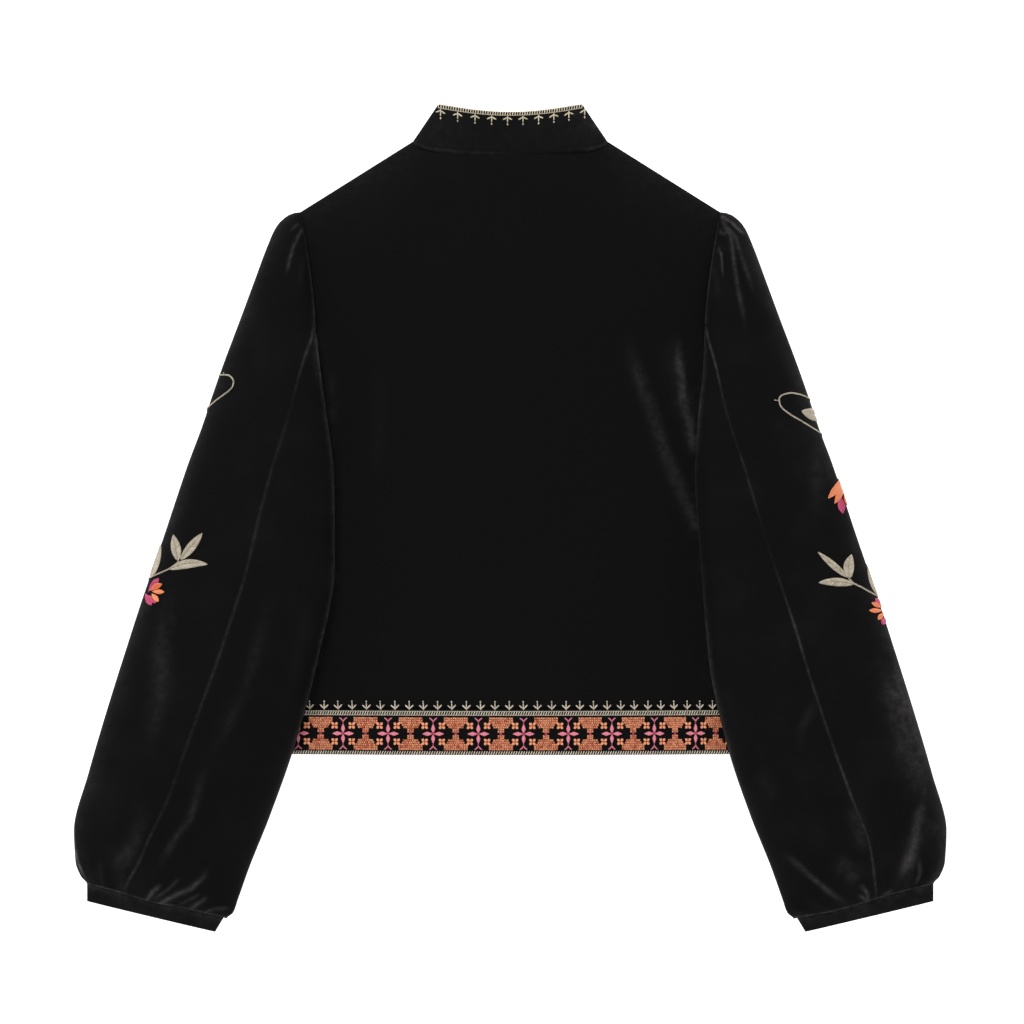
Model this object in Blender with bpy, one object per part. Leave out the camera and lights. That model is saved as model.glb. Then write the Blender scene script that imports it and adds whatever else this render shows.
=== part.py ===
"""A cropped velvet jacket with a stand collar and balloon sleeves, laid out flat with its back up.

Metres. The surface it lies on is z = 0, +Y points to the collar, +X to the wearer's right.
The fronts lie on the surface, the back lies on the fronts, and the sleeves fold over the sides of the back.
Every piece is a cloth wall: a grid of points on its outer face, thickened inwards.
"""

import math

import bpy

# Cloth
WALL = 0.0018
SEAM = 0.0003
REST = 0.0006  # between a sleeve and the back that it rests on

# Body, both panels
HEM_Y = -0.2126
BAND_TOP_Y = -0.1713
SIDE_X = 0.2350
UNDERARM_Y = 0.0950
ARMHOLE_TURN_Y = 0.1650  # where the underarm curve ends and the armhole runs up to the shoulder
ARMHOLE_X = 0.1748
SHOULDER_X, SHOULDER_Y = 0.1892, 0.2752
NECK_X, NECK_Y = 0.0875, 0.3390
BACK_NECK_DROP = 0.0116
FRONT_NECK_DROP = 0.0700
FRONT_NECK_SQUARENESS = 1.6
FRONT_EDGE_X = 0.0005

# Height of the back over the fronts
BODY_LOFT = 0.0260
SIDE_FALL = 1.3
SHOULDER_ROUND = 0.0600
NECK_LOFT_SHARE = 0.55
NECK_FALL_FROM_Y = 0.1600

# Collar
COLLAR_TOP_X, COLLAR_TOP_Y = 0.0648, 0.3724
COLLAR_TOP_BACK_DROP = 0.0072
COLLAR_TOP_FRONT_DROP = 0.0630
COLLAR_TOP_HEIGHT = 0.0100
COLLAR_FOLD = 0.0028

# Sleeve sections, from the shoulder to the cuff, keyed by the inner end's y.
# inner_x: inner fold, or the armhole while the section is open; rise: outer end's y less the inner end's;
# crown: height of the top layer; fold: height of the fold's middle; seam, under: where the two seams
# cross the section, from 0 at its inner end to 1 at its outer end.
SLEEVE_COLUMNS = ("y", "inner_x", "outer_x", "rise", "crown", "fold", "seam", "under")
SLEEVE_ROWS = (
    (0.2745, 0.1890, 0.1945, 0.0000, 0.0065, 0.0030, 0.000, 0.000),
    (0.2720, 0.1886, 0.2005, 0.0000, 0.0090, 0.0035, 0.000, 0.000),
    (0.2620, 0.1867, 0.2105, 0.0000, 0.0140, 0.0045, 0.000, 0.000),
    (0.2450, 0.1839, 0.2183, 0.0000, 0.0190, 0.0055, 0.000, 0.000),
    (0.2150, 0.1788, 0.2295, 0.0000, 0.0240, 0.0060, 0.000, 0.000),
    (0.1825, 0.1748, 0.2415, 0.0000, 0.0270, 0.0060, 0.000, 0.000),
    (0.1350, 0.1731, 0.2593, 0.0000, 0.0290, 0.0060, 0.154, 0.120),
    (0.0950, 0.1681, 0.2730, 0.0000, 0.0310, 0.0060, 0.279, 0.670),
    (0.0350, 0.1632, 0.2904, 0.0120, 0.0330, 0.0060, 0.400, 0.660),
    (-0.0400, 0.1654, 0.3108, 0.0260, 0.0340, 0.0060, 0.463, 0.640),
    (-0.1300, 0.1790, 0.3373, 0.0380, 0.0360, 0.0060, 0.508, 0.600),
    (-0.2110, 0.1966, 0.3617, 0.0420, 0.0380, 0.0060, 0.540, 0.570),
    (-0.2680, 0.2160, 0.3796, 0.0380, 0.0370, 0.0060, 0.555, 0.550),
    (-0.3140, 0.2345, 0.3926, 0.0330, 0.0330, 0.0060, 0.583, 0.530),
    (-0.3430, 0.2450, 0.3912, 0.0335, 0.0260, 0.0060, 0.617, 0.515),
    (-0.3555, 0.2505, 0.3862, 0.0325, 0.0180, 0.0055, 0.652, 0.505),
    (-0.3605, 0.2595, 0.3812, 0.0315, 0.0110, 0.0045, 0.658, 0.500),
)
TOP_ROUNDNESS = 0.85  # powers of the sine that shape a section's two layers
BOTTOM_ROUNDNESS = 0.45
LIFT_PAST_SIDE, LIFT_PAST_HEM = 0.006, 0.034  # a sleeve stays up this far past the back's edges
LIFT_RAMP = 0.036

# Cuff, a closed band: inner and outer end of its two edges
CUFF_TOP = ((0.2593, -0.3612), (0.3809, -0.3295))
CUFF_BOTTOM = ((0.2648, -0.3724), (0.3809, -0.3450))
CUFF_HEIGHT, CUFF_FOLD = 0.0100, 0.0045

# How finely the pieces are divided
NECK_COLUMNS = 6  # to a quarter of the neckline, on the panels and the collar alike
BACK_SHOULDER_COLUMNS, BACK_BODY_ROWS = 6, 6
FRONT_SHOULDER_COLUMNS, FRONT_BODY_ROWS = 2, 2
UNDERARM_TURNS = (0, 20, 40, 65, 90, 97)  # degrees round the underarm curve
ARMHOLE_ROWS_Y = (0.1825, 0.2050, 0.2280, 0.2480, 0.2620, 0.2700, 0.2745)
SLEEVE_ROWS_Y = (0.0650, 0.0350, 0.0000, -0.0400, -0.0850, -0.1300, -0.1720, -0.2110, -0.2400, -0.2680,
                 -0.2930, -0.3140, -0.3300, -0.3430, -0.3505, -0.3555, -0.3605)
OUTER_COLUMNS, INNER_COLUMNS = 14, 12
COLLAR_ROWS = 2
CUFF_COLUMNS = 28


def smooth(t):
    t = min(max(t, 0.0), 1.0)
    return t * t * (3 - 2 * t)


def mix(a, b, t):
    return a + (b - a) * t


def armhole_x(y):
    """Edge of both body panels at the height y: side seam, underarm curve, then armhole."""
    if y <= UNDERARM_Y:
        return SIDE_X
    if y <= ARMHOLE_TURN_Y:
        down = (ARMHOLE_TURN_Y - y) / (ARMHOLE_TURN_Y - UNDERARM_Y)
        return SIDE_X - (SIDE_X - ARMHOLE_X) * math.sqrt(max(0.0, 1 - down * down))
    up = (y - ARMHOLE_TURN_Y) / (SHOULDER_Y - ARMHOLE_TURN_Y)
    return ARMHOLE_X + (SHOULDER_X - ARMHOLE_X) * up**1.6


def armhole_gap(y):
    """Seam gap measured along x, wider where the armhole runs slantwise."""
    step = 0.0005
    slope = (armhole_x(y + step) - armhole_x(y)) / step
    return 1.5 * SEAM * math.hypot(1, min(abs(slope), 4))


def top_edge_y(x, neck_drop, squareness):
    """Neckline and shoulder seam of a body panel."""
    x = abs(x)
    if x >= NECK_X:
        return NECK_Y + (x - NECK_X) * (SHOULDER_Y - NECK_Y) / (SHOULDER_X - NECK_X)
    across = math.sqrt(1 - (x / NECK_X) ** 2)
    return NECK_Y - neck_drop * across**squareness


def neck_gap(x):
    """Seam gap measured along y between a panel and the collar, wider where the neckline runs slantwise."""
    return SEAM * (2 + 3 * min(abs(x) / NECK_X, 1.0) ** 4)


def loft(x, y):
    """How far the back stands above its seams."""
    side = max(0.0, 1 - (x / SIDE_X) ** 2) ** SIDE_FALL
    run, fall = SHOULDER_X - NECK_X, NECK_Y - SHOULDER_Y
    below = (fall * (NECK_X - abs(x)) + run * (NECK_Y - y)) / math.hypot(run, fall)
    shoulder = 1 - (1 - min(max(below / SHOULDER_ROUND, 0.0), 1.0)) ** 2
    neck = mix(1, NECK_LOFT_SHARE, smooth((y - NECK_FALL_FROM_Y) / (NECK_Y - NECK_FALL_FROM_Y)))
    return BODY_LOFT * side * shoulder * neck


def back_top(x, y):
    return WALL + SEAM + WALL + loft(x, y)


def panel_rows(bottom_y, body_rows):
    """Heights of a panel's rows at its side edge, from its lower edge to the shoulder tip."""
    rows = [mix(bottom_y, UNDERARM_Y, i / body_rows) for i in range(body_rows)]
    curve = ARMHOLE_TURN_Y - UNDERARM_Y
    rows += [ARMHOLE_TURN_Y - curve * math.cos(math.radians(a)) for a in UNDERARM_TURNS]
    return rows + list(ARMHOLE_ROWS_Y) + [SHOULDER_Y]


def panel_columns(shoulder_columns):
    """Shares of the half width, from the middle to the shoulder tip, closer at the neck corner."""
    quarter = math.pi / 2
    neck = [NECK_X / SHOULDER_X * math.sin(quarter * i / NECK_COLUMNS) for i in range(NECK_COLUMNS)]
    return neck + [mix(NECK_X / SHOULDER_X, 1, i / shoulder_columns) for i in range(shoulder_columns + 1)]


def panel_grid(rows, shares, neck_drop, squareness, height):
    """Points of a body panel. Rows are straight low down and bend to the neckline and shoulders at the top."""
    bend_from = 0.45
    grid = []
    for side_y in rows:
        risen = (side_y - rows[0]) / (SHOULDER_Y - rows[0])
        bend = smooth((risen - bend_from) / (1 - bend_from))
        row = []
        for share in shares:
            x = share * armhole_x(side_y)
            top_x = share * SHOULDER_X
            top_y = top_edge_y(top_x, neck_drop, squareness) - neck_gap(top_x)
            y = side_y + bend * (top_y - SHOULDER_Y)
            row.append((x, y, height(x, y)))
        grid.append(row)
    return grid


def band_grid(shares, height):
    """Points of the border below a panel, from the hem to the seam with the panel."""
    return [[(s * SIDE_X, y, height(s * SIDE_X, y)) for s in shares] for y in (HEM_Y, BAND_TOP_Y - SEAM)]


def sleeve_section(y):
    """The sleeve table's columns at the height y of the section's inner end, on a smooth curve through its rows."""
    keys = [row[0] for row in SLEEVE_ROWS]
    y = min(max(y, keys[-1]), keys[0])
    i = next(k for k in range(len(keys) - 1) if y >= keys[k + 1])
    t = (y - keys[i]) / (keys[i + 1] - keys[i])

    def slope(k, column):
        if k in (0, len(keys) - 1):
            return 0.0
        before = (SLEEVE_ROWS[k][column] - SLEEVE_ROWS[k - 1][column]) / (keys[k] - keys[k - 1])
        after = (SLEEVE_ROWS[k + 1][column] - SLEEVE_ROWS[k][column]) / (keys[k + 1] - keys[k])
        return 0.0 if before * after <= 0 else 2 * before * after / (before + after)

    values = {}
    for column, name in enumerate(SLEEVE_COLUMNS):
        a, b, span = SLEEVE_ROWS[i][column], SLEEVE_ROWS[i + 1][column], keys[i + 1] - keys[i]
        values[name] = (a * (1 + 2 * t) * (1 - t) ** 2 + b * t * t * (3 - 2 * t)
                        + span * (slope(i, column) * t * (1 - t) ** 2 - slope(i + 1, column) * t * t * (1 - t)))
    values["y"] = y
    values["width"] = values["outer_x"] - values["inner_x"]
    return values


def sleeve_lift(x, y):
    """Height of a sleeve's underside where it lies on the back, ramping down to the surface past the back's edges."""
    past_side = max(0.0, x - SIDE_X - LIFT_PAST_SIDE)
    past_hem = max(0.0, HEM_Y - LIFT_PAST_HEM - y)
    ramp = 1 - smooth(math.hypot(past_side, past_hem) / LIFT_RAMP)
    return (back_top(min(x, SIDE_X), max(y, HEM_Y)) + REST) * ramp


def sleeve_point(section, share, top, on_back):
    """A point of a sleeve section at a share of its width, on its top or its under layer."""
    x = section["inner_x"] + share * section["width"]
    y = section["y"] + share * section["rise"]
    arch = 2 * math.sqrt(max(0.0, share * (1 - share)))
    fold = section["fold"]
    opened = smooth((section["y"] - 0.1350) / (0.1825 - 0.1350))
    if top:
        folded = sleeve_lift(section["inner_x"], section["y"]) + fold
        inner = mix(folded, back_top(armhole_x(section["y"]), section["y"]), opened)
        return x, y, mix(inner, fold, smooth(share)) + (section["crown"] - fold) * arch**TOP_ROUNDNESS
    if on_back:
        return x, y, sleeve_lift(x, y) + (fold * (1 - arch**BOTTOM_ROUNDNESS) if share < 0.5 else 0)
    return x, y, fold * (1 - arch**BOTTOM_ROUNDNESS) if share > 0.5 else 0.0


def turn_of(share, top):
    """Angle round a section: 0 at the inner fold, pi at the outer fold, over the top first."""
    angle = math.acos(1 - 2 * min(max(share, 0.0), 1.0))
    return angle if top else 2 * math.pi - angle


def sleeve_strip(heights, columns, outer):
    """The grid of one of the sleeve's two pieces, from its top seam round a fold to its under seam."""
    grid = []
    for y in heights:
        section = sleeve_section(y)
        half_gap = SEAM / section["width"]
        seam, under = section["seam"], section["under"]
        inner_x = section["inner_x"]
        if y > UNDERARM_Y:
            edge = armhole_x(y)
            under = (edge - inner_x) / section["width"]
            if outer:
                under = (edge + armhole_gap(y) - inner_x) / section["width"]
            if y >= ARMHOLE_ROWS_Y[0]:
                section["inner_x"] = edge + 1.5 * SEAM
                section["width"] = section["outer_x"] - section["inner_x"]
                seam = under = 0.0
                half_gap = 0.0
        if outer:
            start = turn_of(seam + half_gap, True)
            end = turn_of(under + half_gap, False)
        else:
            start = turn_of(seam - half_gap, True)
            end = turn_of(under - half_gap, False) - 2 * math.pi
        row = []
        for k in range(columns + 1):
            turn = mix(start, end, k / columns)
            share = (1 - math.cos(turn)) / 2
            row.append(sleeve_point(section, share, math.sin(turn) >= 0, not outer))
        grid.append(row)
    return grid


def cuff_grid():
    """The cuff's closed band, from the sleeve seam to its free edge."""
    grid = []
    for inner, outer in (CUFF_TOP, CUFF_BOTTOM):
        row = []
        for k in range(CUFF_COLUMNS):
            turn = 2 * math.pi * k / CUFF_COLUMNS
            share = (1 - math.cos(turn)) / 2
            arch = abs(math.sin(turn))
            z = CUFF_FOLD + (CUFF_HEIGHT - CUFF_FOLD) * arch**TOP_ROUNDNESS
            if math.sin(turn) < 0:
                z = CUFF_FOLD * (1 - arch**BOTTOM_ROUNDNESS)
            row.append((mix(inner[0], outer[0], share), mix(inner[1], outer[1], share), z))
        grid.append(row)
    return grid


def collar_grid():
    """The stand collar, folded flat at its sides: round from one front edge, over the back, to the other."""
    base_height = back_top(0, NECK_Y - BACK_NECK_DROP)
    front_gap = FRONT_EDGE_X / NECK_X
    quarter = math.pi / 2
    turns = [quarter * (i / NECK_COLUMNS - 1) for i in range(4 * NECK_COLUMNS + 1)]
    turns[0] += front_gap
    turns[-1] -= front_gap
    grid = []
    for r in range(COLLAR_ROWS + 1):
        up = r / COLLAR_ROWS
        half, corner_y = mix(NECK_X, COLLAR_TOP_X, up), mix(NECK_Y, COLLAR_TOP_Y, up)
        back_drop = mix(BACK_NECK_DROP, COLLAR_TOP_BACK_DROP, up)
        front_drop = mix(FRONT_NECK_DROP, COLLAR_TOP_FRONT_DROP, up)
        height = mix(base_height, COLLAR_TOP_HEIGHT, up)
        row = []
        for turn in turns:
            x, rise = half * math.cos(turn), abs(math.sin(turn))
            if math.sin(turn) >= 0:
                row.append((x, corner_y - back_drop * rise, mix(COLLAR_FOLD, height, rise**TOP_ROUNDNESS)))
            else:
                y = corner_y - front_drop * rise**FRONT_NECK_SQUARENESS
                row.append((x, y, COLLAR_FOLD * (1 - rise**0.35)))
        grid.append(row)
    return grid


def mirrored(grid):
    return [[(-x, y, z) for x, y, z in row] for row in grid]


def velvet(name, color, roughness):
    material = bpy.data.materials.new(name)
    material.use_nodes = True
    shader = material.node_tree.nodes["Principled BSDF"]
    shader.inputs["Base Color"].default_value = (*color, 1)
    shader.inputs["Roughness"].default_value = roughness
    shader.inputs["Metallic"].default_value = 0.0
    return material


def cloth(name, grid, material, parent, flip=False, closed=False):
    """A wall of cloth on a grid of outer points. flip turns its outer face the other way."""
    columns = len(grid[0])
    points = [p for row in grid for p in row]
    faces = []
    for r in range(len(grid) - 1):
        for c in range(columns if closed else columns - 1):
            a, b = r * columns + c, r * columns + (c + 1) % columns
            face = (a, b, b + columns, a + columns)
            faces.append(face[::-1] if flip else face)
    mesh = bpy.data.meshes.new(name)
    mesh.from_pydata(points, [], faces)
    mesh.shade_smooth()
    mesh.materials.append(material)
    piece = bpy.data.objects.new(name, mesh)
    bpy.context.scene.collection.objects.link(piece)
    piece.parent = parent
    wall = piece.modifiers.new("wall", "SOLIDIFY")
    wall.thickness = WALL
    wall.offset = -1
    wall.use_even_offset = True
    wall.use_quality_normals = True
    return piece


def clear_scene():
    for item in list(bpy.data.objects):
        bpy.data.objects.remove(item)


def build_body(jacket, black, border):
    half = panel_columns(BACK_SHOULDER_COLUMNS)
    whole = [-s for s in half[:0:-1]] + half
    front_shares = [FRONT_EDGE_X / SHOULDER_X] + panel_columns(FRONT_SHOULDER_COLUMNS)[1:]
    rows = panel_rows(BAND_TOP_Y, BACK_BODY_ROWS)
    front_rows = panel_rows(BAND_TOP_Y, FRONT_BODY_ROWS)
    back = panel_grid(rows, whole, BACK_NECK_DROP, 1.0, back_top)
    cloth("back_panel", back, black, jacket)
    cloth("hem_band_back", band_grid(whole, back_top), border, jacket)
    front = panel_grid(front_rows, front_shares, FRONT_NECK_DROP, FRONT_NECK_SQUARENESS, lambda x, y: 0.0)
    front_band = band_grid(front_shares, lambda x, y: 0.0)
    cloth("front_right", front, black, jacket, flip=True)
    cloth("front_left", mirrored(front), black, jacket)
    cloth("hem_band_front_right", front_band, border, jacket, flip=True)
    cloth("hem_band_front_left", mirrored(front_band), border, jacket)


def build_sleeves(jacket, black):
    turn = ARMHOLE_TURN_Y - UNDERARM_Y
    underarm = [ARMHOLE_TURN_Y - turn * math.cos(math.radians(a)) for a in reversed(UNDERARM_TURNS)]
    heights = list(reversed(ARMHOLE_ROWS_Y)) + underarm + list(SLEEVE_ROWS_Y)
    outer = sleeve_strip(heights, OUTER_COLUMNS, True)
    folded = [y for y in heights if y < ARMHOLE_TURN_Y + SEAM]
    inner = sleeve_strip(folded, INNER_COLUMNS, False)
    cuff = cuff_grid()
    cloth("sleeve_right_outer", outer, black, jacket, flip=True)
    cloth("sleeve_left_outer", mirrored(outer), black, jacket)
    cloth("sleeve_right_inner", inner, black, jacket)
    cloth("sleeve_left_inner", mirrored(inner), black, jacket, flip=True)
    cloth("cuff_right", cuff, black, jacket, flip=True, closed=True)
    cloth("cuff_left", mirrored(cuff), black, jacket, closed=True)


def build():
    clear_scene()
    jacket = bpy.data.objects.new("jacket", None)
    bpy.context.scene.collection.objects.link(jacket)
    black = velvet("black velvet", (0.006, 0.006, 0.006), 0.9)
    border = velvet("embroidered border", (0.25, 0.08, 0.04), 0.8)
    build_body(jacket, black, border)
    build_sleeves(jacket, black)
    cloth("collar", collar_grid(), black, jacket, flip=True)


build()
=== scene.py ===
import math

import bpy
import numpy as np
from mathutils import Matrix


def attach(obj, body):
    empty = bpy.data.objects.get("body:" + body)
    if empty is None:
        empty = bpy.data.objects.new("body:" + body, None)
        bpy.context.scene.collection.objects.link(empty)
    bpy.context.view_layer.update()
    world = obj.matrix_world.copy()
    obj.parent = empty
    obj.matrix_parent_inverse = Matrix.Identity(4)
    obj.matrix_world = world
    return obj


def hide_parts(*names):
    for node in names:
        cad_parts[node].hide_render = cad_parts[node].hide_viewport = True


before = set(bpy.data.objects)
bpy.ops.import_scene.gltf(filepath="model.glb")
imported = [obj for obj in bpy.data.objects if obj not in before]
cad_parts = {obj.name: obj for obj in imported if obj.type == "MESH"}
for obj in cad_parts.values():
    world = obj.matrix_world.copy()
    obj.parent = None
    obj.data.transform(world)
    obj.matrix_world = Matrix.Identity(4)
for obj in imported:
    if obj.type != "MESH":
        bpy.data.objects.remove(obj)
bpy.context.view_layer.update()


# The two fronts. Black cotton velvet, cut as mirror images, hidden here: they lie face down on the surface
# and meet edge to edge at the centre front.
MM = 0.001
WALL = 0.0018
SIDE_X, UNDERARM_Y, HEM_Y, BAND_TOP_Y = 0.2350, 0.0950, -0.2126, -0.1713
ARMHOLE_X, ARMHOLE_TURN_Y = 0.1748, 0.1650
SHOULDER_X, SHOULDER_Y = 0.1892, 0.2752
NECK_X, NECK_Y = 0.0875, 0.3390
BACK_NECK_DROP, FRONT_NECK_DROP, FRONT_NECK_SQUARENESS = 0.0116, 0.0700, 1.6
FRONT_GAP, SEAM_GAP, LAYER_GAP = 0.0005, 0.0002, 0.0003
SIDES = ((1, "right"), (-1, "left"))


def smooth(t):
    t = np.clip(t, 0, 1)
    return t * t * (3 - 2 * t)


def mix(a, b, t):
    return a + (b - a) * t


def armhole_x(y):
    """Half width of a body panel at the height y: side seam, underarm curve, then armhole."""
    down = np.clip((ARMHOLE_TURN_Y - y) / (ARMHOLE_TURN_Y - UNDERARM_Y), 0, 1)
    up = np.clip((y - ARMHOLE_TURN_Y) / (SHOULDER_Y - ARMHOLE_TURN_Y), 0, 1)
    return SIDE_X - (SIDE_X - ARMHOLE_X) * np.sqrt(1 - down**2) + (SHOULDER_X - ARMHOLE_X) * up**1.6


def panel_plan(row_count, shares, neck_drop, squareness):
    """x and y of a body panel's points: straight rows low down, bending to the neckline and the shoulders."""
    rows = np.linspace(BAND_TOP_Y, SHOULDER_Y, row_count)
    top_x = np.abs(shares) * SHOULDER_X
    across = np.sqrt(np.clip(1 - (top_x / NECK_X) ** 2, 0, 1))
    shoulder = NECK_Y + (top_x - NECK_X) * (SHOULDER_Y - NECK_Y) / (SHOULDER_X - NECK_X)
    top_y = np.where(top_x < NECK_X, NECK_Y - neck_drop * across**squareness, shoulder) - SEAM_GAP
    risen = (rows - rows[0]) / (SHOULDER_Y - rows[0])
    bend = smooth((risen - 0.45) / 0.55)
    x = armhole_x(rows)[:, None] * shares[None, :]
    return x, rows[:, None] + bend[:, None] * (top_y - SHOULDER_Y)[None, :]


def half_shares(neck_columns, shoulder_columns, start):
    """A panel's columns from its middle to its side, closest together at the corner of the neck."""
    neck = np.sin(np.linspace(0, math.pi / 2, neck_columns, endpoint=False)) * NECK_X / SHOULDER_X
    shares = np.concatenate([neck, np.linspace(NECK_X / SHOULDER_X, 1, shoulder_columns)])
    shares[0] = start
    return shares


def new_material(name):
    """A material, its node tree and its main shader."""
    material = bpy.data.materials.new(name)
    material.use_nodes = True
    return material, material.node_tree, material.node_tree.nodes["Principled BSDF"]


def add_node(tree, kind, inputs=(), **settings):
    """Adds a shader node. inputs holds (socket name or number, value or output socket)."""
    node = tree.nodes.new(kind)
    for name, value in settings.items():
        setattr(node, name, value)
    for socket, value in inputs:
        if isinstance(value, bpy.types.NodeSocket):
            tree.links.new(value, node.inputs[socket])
        else:
            node.inputs[socket].default_value = value
    return node


def linear(code):
    """A hex colour as seen on screen, in linear light."""
    parts = [int(code[i : i + 2], 16) / 255 for i in (1, 3, 5)]
    return [p / 12.92 if p <= 0.04045 else ((p + 0.055) / 1.055) ** 2.4 for p in parts] + [1]


def add_noise(tree, place, grain, detail, roughness=0.5):
    """Noise from 0 to 1, its grain in millimetres."""
    settings = [("Vector", place), ("Scale", 1 / (grain * MM)), ("Detail", detail), ("Roughness", roughness)]
    return add_node(tree, "ShaderNodeTexNoise", settings).outputs["Fac"]


def add_range(tree, value, low, high, new_low, new_high):
    """A value carried over from one range to another."""
    ends = [("From Min", low), ("From Max", high), ("To Min", new_low), ("To Max", new_high)]
    return add_node(tree, "ShaderNodeMapRange", [("Value", value)] + ends).outputs[0]


def add_step(tree, operation, *values, **settings):
    """One step of arithmetic on values or sockets."""
    return add_node(tree, "ShaderNodeMath", enumerate(values), operation=operation, **settings).outputs[0]


def add_colour(tree, share, dark, light):
    """A colour that goes from dark to light with a share."""
    settings = [(0, share), (6, linear(dark)), (7, linear(light))]
    return add_node(tree, "ShaderNodeMix", settings, data_type="RGBA").outputs[2]


def add_bump(tree, shader, height, strength, distance):
    """Lets a height tilt the surface as the light sees it."""
    settings = [("Height", height), ("Strength", strength), ("Distance", distance)]
    bump = add_node(tree, "ShaderNodeBump", settings)
    tree.links.new(bump.outputs["Normal"], shader.inputs["Normal"])


# Velvet: a short upright pile that swallows light seen end on, and catches it where it turns away.
# Painted sheen and highlights are added to its colour along folds, seams and edges, and in broad patches.
def make_velvet(name, dark, light, sheen, sheen_patches_share):
    material, tree, shader = new_material(name)
    place = add_node(tree, "ShaderNodeTexCoord").outputs["Object"]
    # Painted sheen, highlights and fill light, laid down with the folds, seams and edges, broken up in 7 mm
    # patches
    painted_sheen = add_node(tree, "ShaderNodeAttribute", attribute_name="painted_sheen").outputs["Fac"]
    uneven = add_range(tree, add_noise(tree, place, 7, 6.0, 0.65), 0.3, 0.7, 0.55, 1.30)
    caught = add_step(tree, "MULTIPLY", painted_sheen, uneven)
    # Broad faint patches of painted sheen, about 4 cm across
    sheen_patches = add_range(tree, add_noise(tree, place, 42, 4.0), 0.35, 0.75, 0.0, sheen_patches_share)
    # Tufts, drawn at 0.9 mm so that they show
    tufts = add_noise(tree, place, 0.9, 2.0)
    speckle = add_range(tree, tufts, 0.3, 0.7, -0.04, 0.04)
    lit = add_step(tree, "ADD", add_step(tree, "ADD", caught, sheen_patches), speckle, use_clamp=True)
    share = add_step(tree, "POWER", lit, 2.2)
    tree.links.new(add_colour(tree, share, dark, light), shader.inputs["Base Color"])
    add_bump(tree, shader, tufts, 0.4, 0.3 * MM)
    shader.inputs["Sheen Weight"].default_value = sheen
    shader.inputs["Sheen Roughness"].default_value = 0.25
    shader.inputs["Sheen Tint"].default_value = linear("#C4C1C3")
    shader.inputs["Roughness"].default_value = 0.8
    shader.inputs["Specular IOR Level"].default_value = 0.05
    return material


def add_mesh(name, points, faces, material):
    """A smooth mesh of one material."""
    mesh = bpy.data.meshes.new(name)
    mesh.from_pydata(points.tolist(), [], faces.tolist())
    mesh.shade_smooth()
    mesh.materials.append(material)
    piece = bpy.data.objects.new(name, mesh)
    bpy.context.scene.collection.objects.link(piece)
    return piece


def add_values(piece, label, values):
    """Notes a value at each point of a piece, for its material."""
    piece.data.attributes.new(label, "FLOAT", "POINT").data.foreach_set("value", values)


def cloth(name, node, grid, material, painted_sheen=None, flip=False, closed=False):
    """A cloth wall on a grid of points of its outer face. flip turns the outer face the other way."""
    rows, columns = grid.shape[:2]
    index = np.arange(rows * columns).reshape(rows, columns)
    if closed:
        index = np.concatenate([index, index[:, :1]], axis=1)
    corners = [index[:-1, :-1], index[:-1, 1:], index[1:, 1:], index[1:, :-1]]
    faces = np.stack(corners[::-1] if flip else corners, axis=-1).reshape(-1, 4)
    piece = add_mesh(name, grid.reshape(-1, 3), faces, material)
    if painted_sheen is not None:
        add_values(piece, "painted_sheen", painted_sheen.ravel())
    wall = piece.modifiers.new("wall", "SOLIDIFY")
    wall.thickness = WALL
    wall.offset = -1
    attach(piece, "root")
    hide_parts(node)
    return piece


velvet = make_velvet("black cotton velvet", "#0D0D0D", "#565456", 0.07, 0.05)
front_shares = half_shares(18, 12, FRONT_GAP / SHOULDER_X)
front_x, front_y = panel_plan(40, front_shares, FRONT_NECK_DROP, FRONT_NECK_SQUARENESS)
for side, word in SIDES:
    grid = np.stack([side * front_x, front_y, np.zeros_like(front_x)], axis=-1)
    front = cloth(f"{word}_front", f"front_{word}", grid, velvet, flip=side > 0)


# The back. One piece of the same velvet, sewn to the fronts at the sides and shoulders, arching a little
# above them. Soft ridges run over it where the sleeves pull, it dips at each seam, and its allowance is
# tucked under the sleeves.
BODY_LOFT, SIDE_FALL, SHOULDER_ROUND = 0.0260, 1.3, 0.0600
NECK_LOFT_SHARE, NECK_FALL_FROM_Y = 0.55, 0.1600
SEAM_DIP, SEAM_DIP_WIDTH = 0.0010, 0.0022
# Painted light lifting the sleeves' shade on the back, then painted sheen at the neck and the shoulders
SHADOW_FILL, SHADOW_FILL_REACH = 0.26, 0.0100
SHEEN_NECK, SHEEN_SHOULDER, SHEEN_REACH = 0.12, 0.25, 0.0310
ALLOWANCE = 0.0025
# Height and half width of a soft ridge (a trough where the height is negative), how much painted sheen
# lies along it, whether it starts at full height, and the points it runs through; in millimetres
BACK_FOLDS = (
    (1.4, 9, 0.13, False, ((-120, 152), (-116, 118), (-119, 82), (-119, 48), (-128, 15))),
    (1.5, 6, 0.20, False, ((-164, 140), (-161, 110), (-159, 76))),
    (1.8, 8, 0.36, True, ((168, -8), (158, 14), (150, 33), (138, 61), (126, 99), (110, 141), (101, 182))),
    (1.6, 6, 0.50, True, ((166, 62), (161, 84), (156, 104), (152, 140), (149, 175))),
    (0.8, 14, 0.22, True, ((158, 100), (152, 130), (146, 170))),
    (-1.2, 16, 0.0, False, ((122, 190), (134, 120), (155, 40))),
    (-0.9, 22, 0.0, False, ((-140, 170), (-142, 90), (-146, 10))),
    (0.8, 30, 0.0, False, ((-60, -60), (-20, 40), (10, 160))),
    (0.7, 26, 0.0, False, ((60, -150), (80, -60), (70, 40))),
)
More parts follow.
